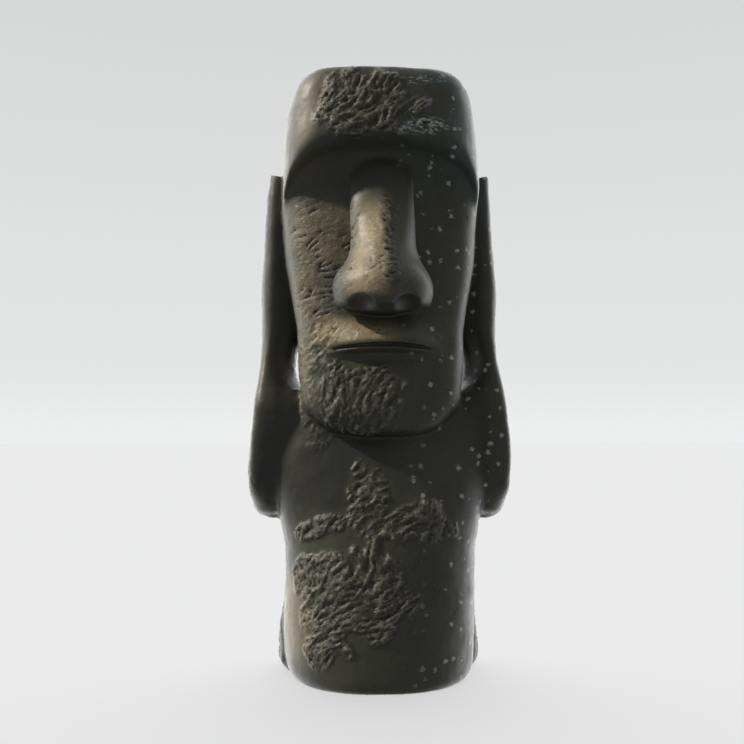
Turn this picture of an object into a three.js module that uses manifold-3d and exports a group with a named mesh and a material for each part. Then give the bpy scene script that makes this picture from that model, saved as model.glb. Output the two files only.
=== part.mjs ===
// A moai: one block of volcanic tuff carved as a standing figure, from its flat crown down to the hips,
// where it is cut level and stands by its own weight. Millimetres, +Z up, the figure faces -Y, and the
// origin lies on the ground under the middle of its bounding box. Head, trunk, nose, ears and arms are
// closed lofts of horizontal sections, joined into one solid, because the real figure is one stone.
import * as THREE from "three";
import { mergeVertices } from "three/addons/utils/BufferGeometryUtils.js";
import Module from "manifold-3d";

const wasm = await Module();
wasm.setup();

// ---- driving dimensions -------------------------------------------------------------------------
// Heights above the ground.
const ELBOW = 1035;
const CHIN = 1602;
const SHOULDER = 1955;
const MOUTH = 2216;
const NOSTRIL = 2430;
const NOSE_TIP = 2570;
const NOSE_ROOT = 3420;
const BROW = 3570;
const EAR_TOP = 3425;
const CROWN = 4050;

// Depths are given from the plane of the ears, and AXIS carries that plane to the middle of the bounding box.
const AXIS = 160;
const TEMPLE_DROP = 480; // how far the brow's arch comes down at the sides of the face
const MOUTH_HALF = 345;
const MOUTH_DROP = 30; // how far the mouth's corners turn down

// ---- helpers ------------------------------------------------------------------------------------
// A smooth curve through [height, value] stations that never overshoots them, and is level beyond both ends.
function profile(...stations) {
  const x = stations.map((s) => s[0]);
  const y = stations.map((s) => s[1]);
  const rise = y.slice(1).map((v, k) => (v - y[k]) / (x[k + 1] - x[k]));
  const slope = y.map((_, k) => {
    const before = rise[k - 1] ?? 0;
    const after = rise[k] ?? 0;
    return before * after > 0 ? (2 * before * after) / (before + after) : 0;
  });
  return (at) => {
    if (at <= x[0]) return y[0];
    if (at >= x.at(-1)) return y.at(-1);
    const k = x.findIndex((v) => v > at) - 1;
    const h = x[k + 1] - x[k];
    const t = (at - x[k]) / h;
    const u = 1 - t;
    return (
      y[k] * u * u * (1 + 2 * t) +
      y[k + 1] * t * t * (3 - 2 * t) +
      h * (slope[k] * t * u * u - slope[k + 1] * t * t * u)
    );
  };
}

// 1 at the middle, falling to 0 one width away and flat at both.
const bell = (distance, width) => {
  const t = Math.min(1, Math.abs(distance) / width);
  return (1 - t * t) ** 2;
};

// 0 up to one value, 1 from another, and a smooth rise between.
const fade = (at, from, to) => THREE.MathUtils.smoothstep(at, from, to);

// Heights from low to high: one on each crease, close together near it and further apart between creases.
function levels(low, high, creases, fine, coarse) {
  const made = [low];
  while (made.at(-1) < high - fine) {
    const near = Math.min(...creases.map((c) => Math.abs(c - made.at(-1))));
    made.push(Math.min(high, made.at(-1) + Math.min(coarse, fine + 0.3 * near)));
  }
  made[made.length - 1] = high;
  for (const crease of creases) {
    const gaps = made.map((z) => Math.abs(z - crease));
    made[gaps.indexOf(Math.min(...gaps))] = crease;
  }
  return made;
}

// Angles round a section: 0 is the front, a right angle is the +X side.
function angles(front, back) {
  const made = [];
  for (let k = 0; k < front; k++) made.push(-Math.PI / 2 + (Math.PI * k) / front);
  for (let k = 0; k < back; k++) made.push(Math.PI / 2 + (Math.PI * k) / back);
  return made;
}

// A point of a rounded section: a superellipse whose front and back halves have their own reach and
// squareness.
function around(form, z, angle) {
  const s = Math.sin(angle);
  const ahead = Math.cos(angle) > 0;
  const power = ahead ? form.frontPower(z) : form.backPower(z);
  const reach = (ahead ? form.front(z) : form.back(z)) - form.widest(z);
  const share = Math.max(0, 1 - Math.abs(s) ** power) ** (1 / power);
  return new THREE.Vector3(form.halfWidth(z) * s, form.widest(z) + reach * share, z);
}

// A closed skin over rings of points, one ring for each height, with a fan over the lowest and the
// highest ring.
function loft(heights, turns, pointAt) {
  const positions = [];
  const faces = [];
  const columns = turns.length;
  for (const z of heights) {
    for (const turn of turns) positions.push(...pointAt(z, turn).toArray());
  }
  const middle = (row) => {
    const sum = [0, 0, 0];
    for (let k = 0; k < columns; k++) {
      for (let a = 0; a < 3; a++) sum[a] += positions[3 * (row * columns + k) + a] / columns;
    }
    return positions.push(...sum) / 3 - 1;
  };
  for (let row = 0; row + 1 < heights.length; row++) {
    for (let k = 0; k < columns; k++) {
      const a = row * columns + k;
      const b = row * columns + ((k + 1) % columns);
      faces.push(a, b, b + columns, a, b + columns, a + columns);
    }
  }
  const foot = middle(0);
  const top = middle(heights.length - 1);
  const last = (heights.length - 1) * columns;
  for (let k = 0; k < columns; k++) {
    const next = (k + 1) % columns;
    faces.push(foot, next, k, top, last + k, last + next);
  }
  const made = new THREE.BufferGeometry();
  made.setAttribute("position", new THREE.Float32BufferAttribute(positions, 3));
  made.setIndex(faces);
  return made;
}

// A three.js geometry as a solid.
function solid(geometry) {
  const bare = geometry.clone();
  bare.deleteAttribute("normal");
  bare.deleteAttribute("uv");
  const merged = mergeVertices(bare, 0.001);
  return new wasm.Manifold(
    new wasm.Mesh({
      numProp: 3,
      vertProperties: new Float32Array(merged.attributes.position.array),
      triVerts: new Uint32Array(merged.index.array),
    }),
  );
}

// A solid as a three.js geometry.
function geometryOf(made) {
  const mesh = made.getMesh();
  const geometry = new THREE.BufferGeometry();
  geometry.setAttribute("position", new THREE.Float32BufferAttribute(mesh.vertProperties, 3));
  geometry.setIndex(new THREE.BufferAttribute(mesh.triVerts, 1));
  geometry.computeVertexNormals();
  return geometry;
}

const even = (value) => () => value;

// ---- the head -----------------------------------------------------------------------------------
const HEAD = {
  halfWidth: profile(
    [CHIN, 190],
    [CHIN + 16, 285],
    [CHIN + 55, 380],
    [CHIN + 130, 462],
    [CHIN + 250, 528],
    [CHIN + 460, 550],
    [MOUTH + 80, 564],
    [NOSTRIL + 106, 603],
    [NOSE_TIP + 220, 646],
    [3040, 666],
    [3300, 674],
    [3640, 658],
    [3755, 644],
    [3850, 628],
    [3930, 597],
    [3985, 561],
    [4030, 502],
    [CROWN, 370],
  ),
  widest: profile(
    [CHIN, -320],
    [1900, -260],
    [2300, -200],
    [2600, -150],
    [3000, -80],
    [3500, -30],
    [CROWN, -60],
  ),
  front: profile(
    [CHIN, -400],
    [CHIN + 20, -470],
    [CHIN + 60, -515],
    [CHIN + 160, -540],
    [2000, -515],
    [MOUTH + 20, -470],
    [2550, -445],
    [2900, -420],
    [3230, -395],
    [3400, -400],
    [BROW - 85, -450],
    [BROW - 32, -560],
    [BROW, -595],
    [BROW + 45, -605],
    [3780, -588],
    [3930, -560],
    [4000, -535],
    [4035, -500],
    [CROWN, -450],
  ),
  back: profile(
    [CHIN, -170],
    [1800, -60],
    [2050, 60],
    [2200, 200],
    [2330, 320],
    [2520, 395],
    [2900, 440],
    [3700, 430],
    [3900, 405],
    [4010, 360],
    [CROWN, 290],
  ),
  frontPower: profile([CHIN, 2.5], [2300, 2.7], [2900, 3], [3400, 3.5], [CROWN, 3.6]),
  backPower: even(3.2),
};

// How far a ring at some height dips, at a share of its half-width. Round the brow it follows the arch,
// which is level over the nose and comes down steeply at the temples. Round the mouth it follows the
// corners.
function dip(level, share) {
  const arch = 1 - (1 - Math.min(1, share) ** 2.5) ** 0.4;
  const nearBrow = fade(level, 2500, BROW - 60) * (1 - fade(level, BROW + 20, CROWN - 20));
  const temple = TEMPLE_DROP * arch * nearBrow;
  const corner = MOUTH_DROP * Math.min(1, share / 0.61) ** 2 * bell(level - MOUTH, 160);
  return temple + corner;
}

// The height at which the mouth's line runs at a distance from the middle.
const mouthLine = (x) => MOUTH - MOUTH_DROP * Math.min(1, Math.abs(x) / MOUTH_HALF) ** 2;

// How far the carving of the lower face stands out from the head's plain section.
function faceRelief(x, z) {
  const above = z - mouthLine(x);
  const across = bell(x, 430) ** 0.6;
  const upperLip = above > 0 ? bell(above, 200) : bell(above, 22);
  const lowerLip = bell(above + 38, 32);
  const hollow = bell(z - (MOUTH - 110), 75);
  return across * (120 * upperLip + 92 * lowerLip - 22 * hollow);
}

function head() {
  const creases = [CHIN, MOUTH - 40, MOUTH - 20, MOUTH, BROW - 30, CROWN];
  const heights = levels(CHIN, CROWN, creases, 16, 130);
  return loft(heights, angles(32, 18), (level, turn) => {
    const share = Math.abs(Math.sin(turn));
    const z = level - dip(level, share);
    const p = around({ ...HEAD, front: () => HEAD.front(level) }, z, turn);
    if (Math.cos(turn) > 0) p.y -= faceRelief(p.x, z) * (1 - share ** 2.4);
    else p.x *= 1 + 0.06 * bell(z - 3640, 260) * bell(p.y - 180, 260);
    return p;
  });
}

// ---- the nose -----------------------------------------------------------------------------------
const NOSE = {
  halfWidth: profile(
    [2392, 60],
    [2410, 200],
    [NOSTRIL, 290],
    [NOSTRIL + 60, 325],
    [NOSE_TIP, 333],
    [2640, 312],
    [2740, 245],
    [2840, 218],
    [NOSE_ROOT, 212],
    [3560, 225],
  ),
  widest: profile([NOSTRIL, -500], [2750, -480], [3000, -440], [NOSE_ROOT - 60, -400], [3560, -300]),
  front: profile(
    [2392, -640],
    [NOSTRIL, -740],
    [NOSTRIL + 70, -790],
    [NOSE_TIP + 10, -800],
    [2680, -765],
    [2850, -665],
    [3050, -570],
    [3250, -512],
    [NOSE_ROOT - 60, -485],
    [NOSE_ROOT + 50, -425],
    [3560, -330],
  ),
  back: even(-250),
  frontPower: profile([NOSTRIL, 2.1], [NOSE_TIP, 1.85], [2900, 1.65]),
  backPower: even(4),
};

function nose() {
  const heights = levels(2392, 3560, [2392, NOSTRIL, NOSE_TIP], 24, 120);
  return loft(heights, angles(18, 2), (z, turn) => around(NOSE, z, turn));
}

// An egg-shaped tool that hollows out one nostril from below, so that the nose's lower edge arches
// over it.
function nostril(side) {
  const made = new THREE.SphereGeometry(1, 16, 10);
  made.scale(100, 170, 105);
  made.translate(side * 153, -745, NOSTRIL - 42);
  return made;
}

// ---- the trunk and neck -------------------------------------------------------------------------
const TRUNK = {
  halfWidth: profile(
    [0, 588],
    [20, 612],
    [60, 632],
    [200, 648],
    [430, 653],
    [700, 650],
    [900, 656],
    [1050, 688],
    [1180, 722],
    [1400, 762],
    [1600, 770],
    [1760, 705],
    [1870, 610],
    [SHOULDER, 495],
    [2080, 435],
    [2400, 430],
  ),
  widest: profile([0, 0], [1400, -20], [2400, 40]),
  front: profile(
    [0, -585],
    [20, -602],
    [60, -610],
    [350, -600],
    [750, -565],
    [1100, -505],
    [1450, -425],
    [1700, -345],
    [SHOULDER, -275],
    [2400, -220],
  ),
  back: profile([0, 440], [600, 460], [1300, 480], [1700, 460], [SHOULDER, 415], [2150, 385], [2400, 290]),
  frontPower: profile([0, 2.3], [1200, 2.5], [1600, 3.1]),
  backPower: even(3),
};

function trunk() {
  const heights = levels(0, 2400, [0, SHOULDER - 60], 22, 170);
  return loft(heights, angles(26, 14), (z, turn) => around(TRUNK, z, turn));
}

// The broader pad of stone behind the figure's front at the hips, with upright grooves like fingers at
// its sides.
const HIP_MIDDLE = 90;
const HIPS = {
  halfWidth: profile([0, 638], [30, 672], [90, 697], [190, 698], [420, 670], [640, 600]),
  widest: even(HIP_MIDDLE),
  front: profile([0, -110], [640, -40]),
  back: profile([0, 455], [300, 460], [640, 400]),
  frontPower: even(3.2),
  backPower: even(3.2),
};
const FINGERS = 5;
const GROOVE = 14;

function hips() {
  return loft(levels(0, 640, [0, 640], 30, 110), angles(26, 8), (z, turn) => {
    const p = around(HIPS, z, turn);
    const carvedHere = bell(z - 190, 260) * (p.y < HIP_MIDDLE ? 1 : 0);
    const wave = 0.5 - 0.5 * Math.cos((2 * Math.PI * FINGERS * (HIP_MIDDLE - p.y)) / 200);
    p.x *= 1 - (GROOVE / 700) * carvedHere * wave;
    return p;
  });
}

// ---- an ear and the arm below it ----------------------------------------------------------------
const FLANK = {
  outer: profile(
    [ELBOW, 755],
    [ELBOW + 20, 818],
    [ELBOW + 60, 856],
    [ELBOW + 115, 874],
    [ELBOW + 200, 888],
    [ELBOW + 330, 883],
    [1530, 873],
    [1650, 859],
    [1760, 852],
    [1875, 845],
    [2000, 832],
    [2150, 819],
    [2400, 816],
    [2560, 824],
    [2900, 806],
    [3200, 790],
    [EAR_TOP, 772],
  ),
  inner: profile(
    [ELBOW, 690],
    [ELBOW + 80, 560],
    [ELBOW + 300, 430],
    [1700, 390],
    [1800, 410],
    [1880, 470],
    [SHOULDER + 30, 570],
    [2100, 590],
    [2190, 575],
    [2290, 535],
    [2420, 500],
    [EAR_TOP, 500],
  ),
  front: profile(
    [ELBOW, -60],
    [ELBOW + 60, -140],
    [ELBOW + 150, -205],
    [1260, -255],
    [1560, -330],
    [1760, -335],
    [1960, -270],
    [2150, -195],
    [2400, -160],
    [EAR_TOP, -115],
  ),
  back: profile(
    [ELBOW, 120],
    [ELBOW + 150, 240],
    [1500, 310],
    [1900, 310],
    [2100, 240],
    [2500, 200],
    [EAR_TOP, 175],
  ),
  ridge: profile([ELBOW, 0.1], [1300, 0.62], [1900, 0.62], [2400, 0.5], [EAR_TOP, 0.5]),
  frontPower: profile([ELBOW + 150, 2.1], [1500, 2.8], [1800, 2.7], [2050, 1.9], [2300, 1.7]),
  backPower: even(2.4),
};
const EAR_SLANT = 0.3; // how steeply the ear's top falls towards the head

function flank(side) {
  const heights = levels(ELBOW, EAR_TOP, [ELBOW, SHOULDER + 20, EAR_TOP], 24, 115);
  return loft(heights, angles(12, 6), (z, turn) => {
    const out = FLANK.outer(z);
    const half = (out - FLANK.inner(z)) / 2;
    const form = {
      halfWidth: () => half,
      widest: even(40),
      front: FLANK.front,
      back: FLANK.back,
      frontPower: FLANK.frontPower,
      backPower: FLANK.backPower,
    };
    const p = around(form, z, turn);
    const forward = Math.max(0, Math.cos(turn)) ** 2;
    p.x += out - half + half * FLANK.ridge(z) * forward;
    p.z -= EAR_SLANT * (out - p.x) * bell(z - EAR_TOP, 200);
    return p;
  }).scale(side, 1, 1);
}

// A mirrored geometry has its faces turned inwards, and this turns them out again.
function turned(geometry) {
  const index = geometry.index.array;
  for (let k = 0; k < index.length; k += 3) [index[k + 1], index[k + 2]] = [index[k + 2], index[k + 1]];
  return geometry;
}

// ---- the figure ---------------------------------------------------------------------------------
const carved = [head(), nose(), trunk(), hips(), flank(1), turned(flank(-1))]
  .map(solid)
  .reduce((whole, piece) => whole.add(piece))
  .subtract(solid(nostril(1)))
  .subtract(solid(nostril(-1)));

const tuff = new THREE.MeshStandardMaterial({ color: 0x5d5544, roughness: 0.85, metalness: 0 });
const statue = new THREE.Mesh(geometryOf(carved), tuff);
statue.name = "statue";
statue.position.y = AXIS;

const moai = new THREE.Group();
moai.add(statue);

export default moai;
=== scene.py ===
"""A carved moai of volcanic tuff on a pale floor. Metres, +Z up. The figure faces -Y, its left ear is at +X.

The stone's skin is a dense mesh made from the CAD solid. Its creases are worn round, and the rough patches,
tool marks and cracks are cut into it before it is thinned out to its final number of faces. The patina is
painted by one material from masks that are measured on that mesh. Some of these masks paint light and shade
into the colour: ochre that also stands for key light on the side towards the key, shade under the brow, on
the chest and under the nose, dark hollows and pale crests in the relief, a cool shade tint on the side away
from the key, and reflections and highlights on the flanks and the brow's edge.
"""

import math

import bpy
import numpy as np
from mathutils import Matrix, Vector


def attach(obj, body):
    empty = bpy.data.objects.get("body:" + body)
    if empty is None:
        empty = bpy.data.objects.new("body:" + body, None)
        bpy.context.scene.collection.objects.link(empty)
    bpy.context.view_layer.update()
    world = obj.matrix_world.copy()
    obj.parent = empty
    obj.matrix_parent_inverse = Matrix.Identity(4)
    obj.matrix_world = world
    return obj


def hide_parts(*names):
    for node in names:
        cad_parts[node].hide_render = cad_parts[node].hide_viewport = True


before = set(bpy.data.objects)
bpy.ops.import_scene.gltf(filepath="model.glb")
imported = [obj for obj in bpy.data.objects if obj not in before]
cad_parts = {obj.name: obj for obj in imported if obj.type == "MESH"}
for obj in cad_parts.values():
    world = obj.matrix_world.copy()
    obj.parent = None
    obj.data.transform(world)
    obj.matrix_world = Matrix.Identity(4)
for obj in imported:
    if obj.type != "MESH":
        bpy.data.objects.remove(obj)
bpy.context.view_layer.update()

# ---- driving values --------------------------------------------------------------------------------------
VOXEL = 0.0082
FACES = 196000
WORN_PASSES = 8
PLAIN_PASSES = 90
LEVEL_PASSES = 16

MOUTH_HEIGHT = 2.196
MOUTH_DROP = 0.030
MOUTH_HALF = 0.345
MOUTH_DEPTH = 0.012
VEIN_HEIGHT = 0.012
LUMP_HEIGHT = 0.014
SWELL_HEIGHT = 0.010
CRUMB_HEIGHT = 0.004
RIB_HEIGHT = 0.010
UPRIGHT_HEIGHT = 0.008
RIM_HEIGHT = 0.006
CRACK_DEPTH = 0.013
STEEP_CRACK_DEPTH = 0.012
TOOLED_CRUMB_HEIGHT = 0.0035
FINE_HEIGHT = 0.0016
BROAD_WAVE = 0.006
SHORT_WAVE = 0.003
SUNK = 0.002
CREST_SPAN = 0.014

DARK_STONE = (0.046, 0.046, 0.036)
WARM_STONE = (0.060, 0.056, 0.042)
OLIVE = (0.050, 0.058, 0.030)
BARE_STONE = (0.085, 0.078, 0.062)
# ochre wear, also painted light on the side towards the key
OCHRE_AND_KEY_LIGHT = (0.310, 0.245, 0.145)
# teal patina, also painted cool shade
TEAL = (0.050, 0.084, 0.080)
# painted shade: laid where the key's shadow falls
PAINTED_SHADE = (0.026, 0.027, 0.023)
# painted reflection: a pale grey for sideways faces
PAINTED_REFLECTION = (0.31, 0.31, 0.31)
# painted shade in the relief's hollows
HOLLOW_SHADE = (0.018, 0.016, 0.010)
# painted highlight on the relief's crests
CREST_HIGHLIGHT = (0.24, 0.225, 0.17)
SOOT = (0.022, 0.021, 0.016)
PALE_SPECK = (0.36, 0.38, 0.36)
# painted highlight streaks
EDGE_HIGHLIGHT = (0.34, 0.40, 0.40)

FLOOR_HALF = 60
FLOOR_GREY = 0.20
FLOOR_GLOW = 0.60
COOL_TINT = 0.985
SUN_AZIMUTH = math.radians(84)
SUN_HEIGHT = math.radians(37)
SUN_SPREAD = math.radians(3)
SUN_ENERGY = 3.0
SUN_COLOUR = (1.0, 0.92, 0.78)

CAMERA_HEIGHT = 1.7105
CAMERA_DISTANCE = 6.113
CAMERA_YAW = math.radians(3.2)
CAMERA_HEADING = math.radians(2.670444)
CAMERA_PITCH = math.radians(3.059669)
CAMERA_SENSOR = 36
CAMERA_LENS = 43.45161

# The twelve slopes of gradient noise: the middles of a cube's edges.
GRADIENTS = np.array([
    (x, y, z)
    for x in (-1, 0, 1) for y in (-1, 0, 1) for z in (-1, 0, 1)
    if abs(x) + abs(y) + abs(z) == 2
], float)


# ---- noise -----------------------------------------------------------------------------------------------
def scatter(cell, seed):
    """A repeatable whole number for each cell."""
    h = cell[..., 0] * 374761393 + cell[..., 1] * 668265263 + cell[..., 2] * 2147483647 + seed * 974711
    h &= 0xFFFFFFFF
    h = ((h ^ (h >> 13)) * 1274126177) & 0xFFFFFFFF
    h = ((h ^ (h >> 16)) * 2246822519) & 0xFFFFFFFF
    return (h ^ (h >> 15)) & 0xFFFFFF


def noise(p, seed):
    """Smooth gradient noise, about -1 to 1, with features about one unit across."""
    base = np.floor(p)
    t = p - base
    s = t * t * t * (t * (t * 6 - 15) + 10)
    base = base.astype(np.int64)
    total = np.zeros(len(p))
    for corner in np.ndindex(2, 2, 2):
        slope = GRADIENTS[scatter(base + np.array(corner), seed) % 12]
        weight = np.prod(np.where(corner, s, 1 - s), axis=1)
        total += weight * ((t - corner) * slope).sum(axis=1)
    return 1.4 * total


def octaves(p, count, seed, ridged=False, gain=0.55):
    """Noise with finer and weaker noise on top; ridged noise has sharp crests."""
    total = np.zeros(len(p))
    size = 0.0
    weight = 1.0
    for k in range(count):
        n = noise(p * 2.03**k + 17.3 * k, seed + k)
        total += weight * (1 - 2.4 * np.abs(n) if ridged else n)
        size += weight
        weight *= gain
    return total / size


def ramp(value, low, high):
    """0 below low, 1 above high, smooth between; low may be the larger."""
    t = np.clip((value - low) / (high - low), 0, 1)
    return t * t * (3 - 2 * t)


def patch(p, centre, size, edge=0.35):
    """1 inside an ellipsoid, 0 outside, with a soft edge."""
    d = np.sqrt((((p - np.array(centre)) / np.array(size)) ** 2).sum(axis=1))
    return ramp(d, 1 + edge, 1 - edge)


def slanted(points, angle, size):
    """Coordinates turned by an angle in the front view and divided by a grain's length, depth and width."""
    c, s = math.cos(math.radians(angle)), math.sin(math.radians(angle))
    x, y, z = points.T
    return np.stack([c * x + s * z, y, c * z - s * x], axis=1) / np.array(size)


def cracks(points, angle, size, width, seed):
    """Thin broken lines, 1 along each line's middle."""
    line = 1 - np.abs(noise(slanted(points, angle, size), seed)) / width
    return np.clip(line, 0, 1) * ramp(noise(points / 0.13, seed + 1), -0.05, 0.25)


# ---- the stone's skin ------------------------------------------------------------------------------------
def arrays(mesh):
    """Vertex positions, edges and normals of a mesh as numpy arrays."""
    co = np.empty(3 * len(mesh.vertices), np.float32)
    mesh.vertices.foreach_get("co", co)
    edges = np.empty(2 * len(mesh.edges), np.int32)
    mesh.edges.foreach_get("vertices", edges)
    normals = np.empty(3 * len(mesh.vertices), np.float32)
    mesh.vertices.foreach_get("normal", normals)
    return co.reshape(-1, 3).astype(float), edges.reshape(-1, 2), normals.reshape(-1, 3).astype(float)


def relax(values, edges, weight, passes):
    """Moves each row of values towards the mean of its neighbours' rows, as far as its weight says."""
    count = np.bincount(edges.ravel(), minlength=len(values)).astype(float)
    for _ in range(passes):
        total = np.empty_like(values)
        for column in range(values.shape[1]):
            total[:, column] = np.bincount(edges[:, 0], values[edges[:, 1], column], len(values))
            total[:, column] += np.bincount(edges[:, 1], values[edges[:, 0], column], len(values))
        values = values + weight[:, None] * (total / count[:, None] - values)
    return values


def evaluated(obj):
    """A copy of an object's mesh with its modifiers applied."""
    made = bpy.data.meshes.new_from_object(obj.evaluated_get(bpy.context.evaluated_depsgraph_get()))
    obj.modifiers.clear()
    return made


def place_points(mesh, co):
    """Moves a mesh's vertices."""
    mesh.vertices.foreach_set("co", co.astype(np.float32).ravel())
    mesh.update()


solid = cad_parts["statue"]
moai = bpy.data.objects.new("moai", solid.data.copy())
bpy.context.scene.collection.objects.link(moai)
moai.data.materials.clear()
remesh = moai.modifiers.new("remesh", "REMESH")
remesh.mode = "VOXEL"
remesh.voxel_size = VOXEL
skin = evaluated(moai)

co, edges, _ = arrays(skin)
loose = np.where(co[:, 2] < 0.012, 0.0, 0.5)  # the underside keeps its plane
co = relax(co, edges, loose, WORN_PASSES)

# The areas that are worn smooth: the belly, the brow's front, the head's sides, the rear and the arms' sides.
plain = np.maximum.reduce([
    patch(co, (0, -0.35, 0.72), (0.60, 0.45, 0.68), 0.2),
    patch(co, (0, -0.45, 3.82), (0.52, 0.30, 0.16), 0.3),
    patch(np.abs(co), (0.42, 0.24, 2.85), (0.12, 0.16, 0.50), 0.3),
    ramp(co[:, 1], 0.10, 0.25) * ramp(co[:, 2], 0.06, 0.16) * ramp(co[:, 2], 3.98, 3.88),
    ramp(np.abs(co[:, 0]), 0.74, 0.80) * ramp(co[:, 2], 1.15, 1.3) * ramp(co[:, 2], 3.3, 3.1),
])
root = patch(co, (0, -0.30, 3.43), (0.32, 0.30, 0.13))
shoulders = patch(np.abs(co), (0.66, 0.15, 1.62), (0.22, 0.35, 0.42))
nape = patch(co, (0, 0.45, 2.3), (0.7, 0.4, 0.5))
co = relax(co, edges, loose * np.maximum.reduce([plain, shoulders, nape, root]), PLAIN_PASSES)
place_points(skin, co)
co, edges, n = arrays(skin)

# ---- relief: worn, cracked and tooled patches ------------------------------------------------------------
x, y, z = co.T
front = ramp(-n[:, 1], 0.15, 0.6)
warp = np.stack([noise(co / 0.45 + 5 * k, 40 + k) for k in range(3)], axis=1)
place = co + 0.08 * warp + 0.02 * np.roll(warp, 1, axis=1)

# Each patch is an ellipsoid's centre and half size.
forehead = np.maximum(
    patch(place, (-0.12, -0.5, 3.76), (0.36, 0.35, 0.25)),
    patch(place, (0.12, -0.5, 3.60), (0.20, 0.35, 0.06)),
)
cheek = patch(place, (-0.42, -0.32, 2.76), (0.21, 0.30, 0.55))
ridge = patch(place, (0.00, -0.62, 2.92), (0.09, 0.30, 0.42))
tip = patch(place, (-0.02, -0.65, 2.62), (0.12, 0.20, 0.20))
lip = patch(place, (-0.20, -0.45, 2.29), (0.34, 0.20, 0.11))
chin = patch(place, (-0.16, -0.42, 1.82), (0.26, 0.30, 0.25))
jaw = patch(place, (-0.42, -0.25, 1.98), (0.20, 0.30, 0.36))
rim = patch(place, (-0.88, 0.10, 1.45), (0.09, 0.25, 0.42))
belly = np.maximum.reduce([
    patch(place, (-0.05, -0.3, 1.15), (0.13, 0.3, 0.26)),
    patch(place, (-0.36, -0.3, 1.03), (0.16, 0.3, 0.09)),
    patch(place, (-0.33, -0.3, 0.55), (0.25, 0.4, 0.30)),
    patch(place, (-0.05, -0.4, 0.58), (0.22, 0.3, 0.28)),
    patch(place, (0.22, -0.3, 1.06), (0.27, 0.3, 0.12)),
    0.6 * patch(place, (-0.34, -0.4, 0.16), (0.18, 0.4, 0.09)),
])
belly *= 1 - patch(place, (-0.33, -0.4, 0.90), (0.13, 0.4, 0.065))
belly *= 1 - patch(place, (-0.60, -0.1, 0.42), (0.13, 0.4, 0.34))
back = 0.6 * ramp(y, 0.05, 0.3)

lumps = octaves(slanted(place, 44, (0.120, 0.07, 0.052)), 4, 13, ridged=True, gain=0.62)
crumbs = octaves(slanted(place, 38, (0.040, 0.03, 0.024)), 2, 17)
upright = octaves(slanted(place, 76, (0.100, 0.07, 0.034)), 3, 27, ridged=True)
ribs = octaves(slanted(place, -32, (0.090, 0.07, 0.036)), 2, 33, ridged=True)
fine = octaves(co / 0.032, 2, 51)
diagonal_cracks = cracks(place, 33, (0.17, 0.10, 0.050), 0.16, 61)
steep_cracks = cracks(place, 72, (0.14, 0.10, 0.050), 0.16, 71)
ragged = 0.35 * lumps + 0.75 * noise(co / 0.13, 81)


def broken(soft):
    """A patch with a ragged edge, from a soft one."""
    return ramp(soft + ragged * ramp(soft, 0, 0.3), 0.20, 0.95)


crumbled = np.maximum.reduce([broken(forehead), broken(belly), 0.7 * broken(chin), 0.5 * broken(jaw), back])
tooled = np.maximum.reduce([cheek, 0.8 * lip, 0.5 * tip, 0.35 * back])
depth = LUMP_HEIGHT * crumbled * (lumps + 0.20) + CRUMB_HEIGHT * crumbled * crumbs
depth += SWELL_HEIGHT * crumbled * noise(slanted(place, 40, (0.16, 0.1, 0.08)), 19)
depth += RIB_HEIGHT * np.maximum(ridge * ramp(x, -0.06, 0.02), 0.3 * lip) * ribs
depth += UPRIGHT_HEIGHT * broken(chin) * upright + RIM_HEIGHT * rim * lumps
depth -= CRACK_DEPTH * tooled * diagonal_cracks
depth -= STEEP_CRACK_DEPTH * np.maximum(tip * ramp(z, 2.50, 2.58), 0.5 * chin) * steep_cracks
depth += TOOLED_CRUMB_HEIGHT * tooled * crumbs + FINE_HEIGHT * fine
depth += BROAD_WAVE * noise(co / 0.40, 91) + SHORT_WAVE * noise(co / 0.16, 92)
from_mouth = np.abs(z - (MOUTH_HEIGHT - MOUTH_DROP * (x / MOUTH_HALF) ** 2))
groove = ramp(from_mouth, 0.014, 0.002) * ramp(np.abs(x), 0.36, 0.28) * ramp(-y, 0.1, 0.2)
depth -= MOUTH_DEPTH * groove * front
vein_x = -0.05 - 0.03 * np.cos((z - 0.84) * 14) - 0.9 * np.clip(0.78 - z, 0, 0.3)
depth += VEIN_HEIGHT * ramp(np.abs(x - vein_x), 0.020, 0.0) * ramp(np.abs(z - 0.76), 0.22, 0.15) * front
depth -= SUNK
depth *= ramp(z, 0.0, 0.03)
level = relax(depth[:, None].copy(), edges, np.full(len(co), 0.5), LEVEL_PASSES)[:, 0]
place_points(skin, co + n * depth[:, None])


def mask(name, values):
    """Keeps a value from 0 to 1 for each vertex, for the material to read."""
    layer = skin.attributes.new(name, "FLOAT", "POINT")
    layer.data.foreach_set("value", np.clip(values, 0, 1).astype(np.float32))


mask("rough", np.maximum.reduce([crumbled, tooled, ridge, tip]))
# The relief's height against its local level. The material paints the low parts dark as shade and the high
# parts pale as highlight.
mask("crest", 0.5 + (depth - level) / CREST_SPAN)
# Ochre wear that also paints key light into the colour: it lies only on the -X side that faces the key, on
# the lit half of the nose, the upper lip, the cheek, jaw and forehead on that side, the arm's rim and the
# lower belly.
mask("ochre_and_key_light", np.maximum.reduce([
    0.42 * patch(place, (-0.56, -0.2, 0.42), (0.17, 0.4, 0.30)),
    patch(place, (-0.12, -0.6, 2.80), (0.18, 0.25, 0.46)) * ramp(x, 0.06, -0.02) * ramp(z, 2.44, 2.52),
    0.95 * patch(place, (-0.24, -0.5, 2.28), (0.34, 0.3, 0.12)),
    0.30 * patch(place, (-0.42, -0.3, 2.98), (0.24, 0.3, 0.22)),
    0.35 * patch(place, (-0.56, -0.3, 2.2), (0.16, 0.3, 0.6)),
    0.20 * patch(place, (-0.60, -0.3, 3.75), (0.22, 0.4, 0.40)),
    0.40 * rim,
]))
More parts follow.
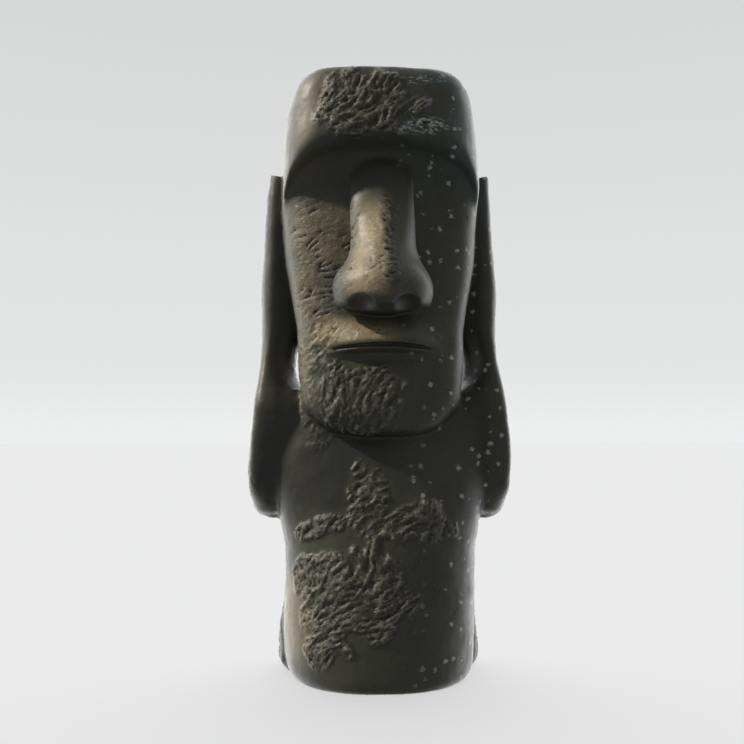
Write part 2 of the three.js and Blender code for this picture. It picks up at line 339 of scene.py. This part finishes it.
# A teal tint on the +X side of the head, away from the key: partly teal patina, partly painted cool shade.
mask("cool", ramp(x + 0.25 * warp[:, 0], 0.12, 0.5) * ramp(z, 2.9, 3.6))
# Pale specks on the front of the +X side.
mask("specks", ramp(x + 0.12 * warp[:, 1], 0.10, 0.35) * ramp(n[:, 1], 0.3, -0.2))
# Painted highlights: pale streaks along the brow's edge and near the top of the head on the +X side, where
# the head is in shade.
mask("edge_highlights", np.maximum(
    patch(place, (0.24, -0.4, 3.60), (0.18, 0.3, 0.05)),
    patch(place, (0.30, -0.4, 3.93), (0.12, 0.3, 0.03)),
))
# Painted reflection: the flanks of the nose and the neck beside the jaw, where they face sideways, are
# painted a pale grey that stands for the bright surroundings seen there at a grazing angle, more strongly on
# the +X side.
sideways = ramp(np.abs(n[:, 0]), 0.55, 0.85) * np.where(x > 0, 1.0, 0.35)
mask("flank_reflection", sideways * np.maximum(
    patch(co, (0, -0.34, 2.95), (0.30, 0.16, 0.48)),
    ramp(np.abs(x), 0.40, 0.5) * ramp(y, 0.12, 0.02) * ramp(z, 1.75, 1.9),
))
# Painted shade: the chest where the arm's shadow falls, the ear hollows beside the temples, the eye sockets
# under the brow and the downward faces under the nose are darkened in the colour. The middle of the chest is
# left out, where the key light reaches.
chest_out_of_shade = patch(place, (-0.05, -0.3, 1.15), (0.16, 0.3, 0.28))
mask("painted_shade", np.maximum.reduce([
    1.2 * patch(place, (-0.40, -0.2, 1.45), (0.55, 0.5, 0.36)) * (1 - chest_out_of_shade),
    ramp(np.abs(x), 0.74, 0.70) * ramp(np.abs(x), 0.60, 0.68) * ramp(z, 3.3, 3.0),
    0.6 * patch(place, (0.0, -0.4, 3.40), (0.60, 0.4, 0.16)),
    ramp(-n[:, 2], 0.2, 0.6) * patch(co, (0, -0.55, 2.42), (0.30, 0.3, 0.10)),
]))

moai.data = skin
thin = moai.modifiers.new("thin", "DECIMATE")
thin.ratio = min(1.0, FACES / (2 * len(skin.polygons)))  # the voxel faces are quads
thin.use_collapse_triangulate = True
skin = evaluated(moai)
moai.data = skin

skin.shade_smooth()
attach(moai, "root")
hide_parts("statue")

# ---- material --------------------------------------------------------------------------------------------
tuff = bpy.data.materials.new("tuff")
tuff.use_nodes = True
tree = tuff.node_tree
shader = tree.nodes["Principled BSDF"]
shader.inputs["Specular IOR Level"].default_value = 0.5
skin.materials.append(tuff)


def node(kind, **settings):
    """A new node with the given settings."""
    made = tree.nodes.new(kind)
    for key, value in settings.items():
        setattr(made, key, value)
    return made


def value_of(name):
    """A mask's value."""
    return node("ShaderNodeAttribute", attribute_name=name).outputs["Fac"]


where = node("ShaderNodeTexCoord").outputs["Object"]


def speckle(scale, detail, roughness=0.55, stretch=(1, 1, 1), turn=(0, 0, 0)):
    """A noise texture's value in the figure's own coordinates, scale in features per metre."""
    turned = node("ShaderNodeMapping")
    turned.inputs["Scale"].default_value = stretch
    turned.inputs["Rotation"].default_value = turn
    tree.links.new(where, turned.inputs["Vector"])
    made = node("ShaderNodeTexNoise")
    made.inputs["Scale"].default_value = scale
    made.inputs["Detail"].default_value = detail
    made.inputs["Roughness"].default_value = roughness
    tree.links.new(turned.outputs["Vector"], made.inputs["Vector"])
    return made.outputs["Fac"]


def maths(operation, *terms):
    """One sum, of sockets and plain numbers."""
    made = node("ShaderNodeMath", operation=operation)
    for socket, term in zip(made.inputs, terms):
        if hasattr(term, "links"):
            tree.links.new(term, socket)
        else:
            socket.default_value = term
    return made.outputs[0]


def times(value, factor):
    """The product of two terms."""
    return maths("MULTIPLY", value, factor)


def between(value, low, high):
    """0 at low, 1 at high, smooth between."""
    made = node("ShaderNodeMapRange", interpolation_type="SMOOTHSTEP")
    tree.links.new(value, made.inputs["Value"])
    made.inputs["From Min"].default_value = low
    made.inputs["From Max"].default_value = high
    return made.outputs["Result"]


def mixed(amount, below, above):
    """The colour below where the amount is 0, the colour above where it is 1."""
    made = node("ShaderNodeMix", data_type="RGBA")
    tree.links.new(amount, made.inputs["Factor"])
    for socket, term in ((made.inputs[6], below), (made.inputs[7], above)):
        if hasattr(term, "links"):
            tree.links.new(term, socket)
        else:
            socket.default_value = (*term, 1)
    return made.outputs[2]


def voronoi(scale):
    """Distance to the nearest scattered point, and a random value for each point's cell."""
    made = node("ShaderNodeTexVoronoi")
    made.inputs["Scale"].default_value = scale
    tree.links.new(where, made.inputs["Vector"])
    split = node("ShaderNodeSeparateColor")
    tree.links.new(made.outputs["Color"], split.inputs["Color"])
    return made.outputs["Distance"], split.outputs["Red"]


broad = speckle(2.3, 3)
middle = speckle(11, 5, 0.6)
grain = speckle(60, 5, 0.65)
crest = value_of("crest")
rough = value_of("rough")
near, chance = voronoi(15)
spot = times(between(maths("ADD", near, times(grain, 0.75)), 0.66, 0.54), between(chance, 0.50, 0.52))
# pale streaks for the painted highlights
highlight_streak = between(speckle(26, 4, 0.6, stretch=(1, 1, 2.4)), 0.50, 0.62)

# Each row paints a colour over those before it, as far as its amount says.
colour = mixed(between(broad, 0.35, 0.65), DARK_STONE, WARM_STONE)
for amount, paint in (
    (times(between(middle, 0.40, 0.66), 0.8), OLIVE),
    (times(rough, between(speckle(7, 3), 0.30, 0.60)), BARE_STONE),
    # ochre wear and painted key light on the -X side
    (times(value_of("ochre_and_key_light"), between(speckle(5, 4), 0.15, 0.5)), OCHRE_AND_KEY_LIGHT),
    # teal patina and painted cool shade on the side away from the key
    (times(value_of("cool"), between(speckle(4, 4), 0.35, 0.6)), TEAL),
    # painted shade on the chest, eye sockets, ear hollows and under the nose
    (times(value_of("painted_shade"), 0.88), PAINTED_SHADE),
    # painted reflection on the sideways flanks
    (times(value_of("flank_reflection"), 0.8), PAINTED_REFLECTION),
    # painted shade in the relief's hollows
    (times(between(crest, 0.50, 0.15), 0.92), HOLLOW_SHADE),
    # painted highlight on the relief's crests
    (times(between(crest, 0.54, 0.90), 0.55), CREST_HIGHLIGHT),
    (times(between(grain, 0.40, 0.75), 0.35), SOOT),
    (times(times(spot, value_of("specks")), 0.9), PALE_SPECK),
    # painted highlights on the brow's edge
    (times(highlight_streak, value_of("edge_highlights")), EDGE_HIGHLIGHT),
):
    colour = mixed(amount, colour, paint)
tree.links.new(colour, shader.inputs["Base Color"])
tree.links.new(maths("ADD", times(middle, 0.3), 0.33), shader.inputs["Roughness"])

bump = node("ShaderNodeBump")
bump.inputs["Strength"].default_value = 0.7
bump.inputs["Distance"].default_value = 0.01
chips = speckle(30, 4, 0.6, turn=(0, 0.6, 0), stretch=(0.7, 1, 1.3))
height = times(maths("ADD", chips, times(grain, 0.5)), maths("ADD", rough, 0.10))
tree.links.new(height, bump.inputs["Height"])
tree.links.new(bump.outputs["Normal"], shader.inputs["Normal"])

# ---- stage -----------------------------------------------------------------------------------------------
floor_mesh = bpy.data.meshes.new("floor")
corners = [(FLOOR_HALF * i, FLOOR_HALF * j, 0) for i, j in ((-1, -1), (1, -1), (1, 1), (-1, 1))]
floor_mesh.from_pydata(corners, [], [(0, 1, 2, 3)])
floor = bpy.data.objects.new("floor", floor_mesh)
bpy.context.scene.collection.objects.link(floor)
floor.visible_diffuse = False
floor.visible_glossy = False
pale = bpy.data.materials.new("pale floor")
pale.use_nodes = True
matt = pale.node_tree.nodes["Principled BSDF"]
matt.inputs["Base Color"].default_value = (FLOOR_GREY, FLOOR_GREY, FLOOR_GREY, 1)
matt.inputs["Roughness"].default_value = 1.0
matt.inputs["Specular IOR Level"].default_value = 0.0
matt.inputs["Emission Color"].default_value = (1, 1, 1, 1)
matt.inputs["Emission Strength"].default_value = FLOOR_GLOW
floor_mesh.materials.append(pale)

world = bpy.data.worlds.new("studio")
bpy.context.scene.world = world
world.use_nodes = True
sky = world.node_tree
way = sky.nodes.new("ShaderNodeTexCoord")
axes = sky.nodes.new("ShaderNodeSeparateXYZ")
sky.links.new(way.outputs["Generated"], axes.inputs["Vector"])


def gradient(axis, first, last, *inner):
    """A grey for each direction, by its share along one axis. Each stop is a place from 0 to 1 and a grey."""
    share = sky.nodes.new("ShaderNodeMapRange")
    share.inputs["From Min"].default_value = -1
    sky.links.new(axes.outputs[axis], share.inputs["Value"])
    made = sky.nodes.new("ShaderNodeValToRGB")
    stops = made.color_ramp.elements
    for k, (spot_on, grey) in enumerate((first, last, *inner)):
        stop = stops[k] if k < 2 else stops.new(spot_on)
        stop.position = spot_on
        stop.color = (COOL_TINT * grey, grey, grey, 1)
    sky.links.new(share.outputs["Result"], made.inputs["Fac"])
    return made.outputs["Color"]


# The camera sees one gradient. The light comes from another, dim in front and bright behind.
seen = sky.nodes["Background"]
backdrop = gradient("Z", (0.497, 0.86), (0.73, 0.67), (0.515, 0.81), (0.53, 0.785), (0.60, 0.75))
sky.links.new(backdrop, seen.inputs["Color"])
fill = sky.nodes.new("ShaderNodeBackground")
studio = gradient("Y", (0.35, 0.25), (0.90, 3.4), (0.50, 0.40), (0.60, 1.3))
sky.links.new(studio, fill.inputs["Color"])
rays = sky.nodes.new("ShaderNodeLightPath")
choose = sky.nodes.new("ShaderNodeMixShader")
sky.links.new(rays.outputs["Is Camera Ray"], choose.inputs["Fac"])
sky.links.new(fill.outputs["Background"], choose.inputs[1])
sky.links.new(seen.outputs["Background"], choose.inputs[2])
sky.links.new(choose.outputs["Shader"], sky.nodes["World Output"].inputs["Surface"])

sun_data = bpy.data.lights.new("key", "SUN")
sun_data.energy = SUN_ENERGY
sun_data.angle = SUN_SPREAD
sun_data.color = SUN_COLOUR
sun = bpy.data.objects.new("key", sun_data)
bpy.context.scene.collection.objects.link(sun)
toward = Vector((
    -math.sin(SUN_AZIMUTH) * math.cos(SUN_HEIGHT),
    -math.cos(SUN_AZIMUTH) * math.cos(SUN_HEIGHT),
    math.sin(SUN_HEIGHT),
))
sun.rotation_euler = toward.to_track_quat("Z", "Y").to_euler()
lit = bpy.data.collections.new("lit by the key")
lit.objects.link(moai)
sun.light_linking.receiver_collection = lit

camera_data = bpy.data.cameras.new("camera")
camera_data.sensor_width = CAMERA_SENSOR
camera_data.lens = CAMERA_LENS
camera = bpy.data.objects.new("camera", camera_data)
bpy.context.scene.collection.objects.link(camera)
camera.location = (
    -CAMERA_DISTANCE * math.sin(CAMERA_YAW),
    -CAMERA_DISTANCE * math.cos(CAMERA_YAW),
    CAMERA_HEIGHT,
)
camera.rotation_euler = (math.pi / 2 + CAMERA_PITCH, 0, -CAMERA_HEADING)
bpy.context.scene.camera = camera

bpy.context.scene.view_settings.view_transform = "Standard"
